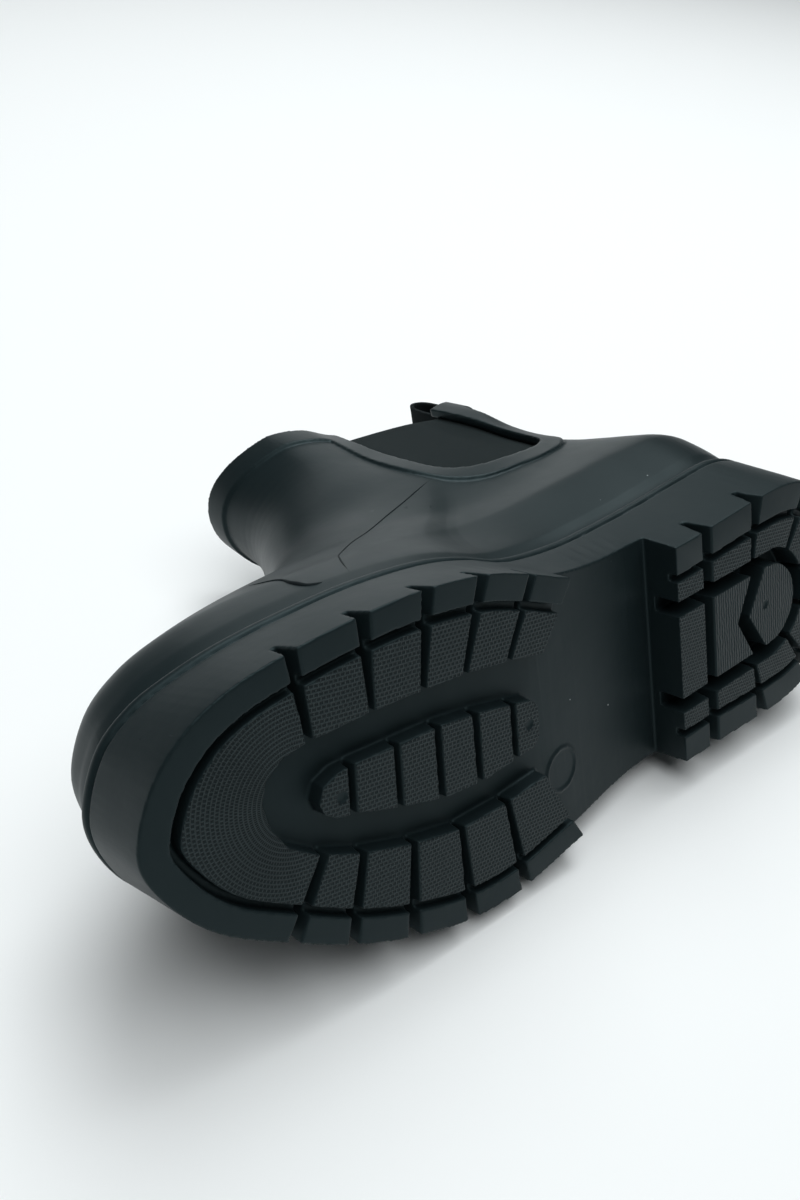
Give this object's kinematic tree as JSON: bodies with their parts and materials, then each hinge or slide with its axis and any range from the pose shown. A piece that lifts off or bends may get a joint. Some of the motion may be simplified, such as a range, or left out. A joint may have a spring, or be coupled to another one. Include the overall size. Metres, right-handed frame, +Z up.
{
  "type": "rain boot",
  "caption": "Ankle rain boot for the right foot, lying on its outer side: hollow moulded upper with elastic side gores, lugged sole with heel, webbing pull loop.",
  "frame": {"origin": "centre of the bottom of the object's box, on the floor that the boot lies on", "axes": "-X towards the toe, +Y from the tread towards the collar, +Z up from the floor through the inner side of the boot"},
  "size_m": [0.2778, 0.204, 0.1022],
  "materials": {
    "sole_rubber": "satin black moulded rubber, pebbled on the lugs",
    "upper_rubber": "smooth satin black moulded rubber",
    "elastic": "matte black knitted elastic",
    "webbing": "matte black woven webbing",
    "insole_fabric": "matte dark textile"
  },
  "bodies": {
    "root": {"outsole": "sole_rubber", "upper": "upper_rubber", "gore_medial": "elastic", "gore_lateral": "elastic", "pull_loop": "webbing", "insole": "insole_fabric"}
  },
  "joints": []
}
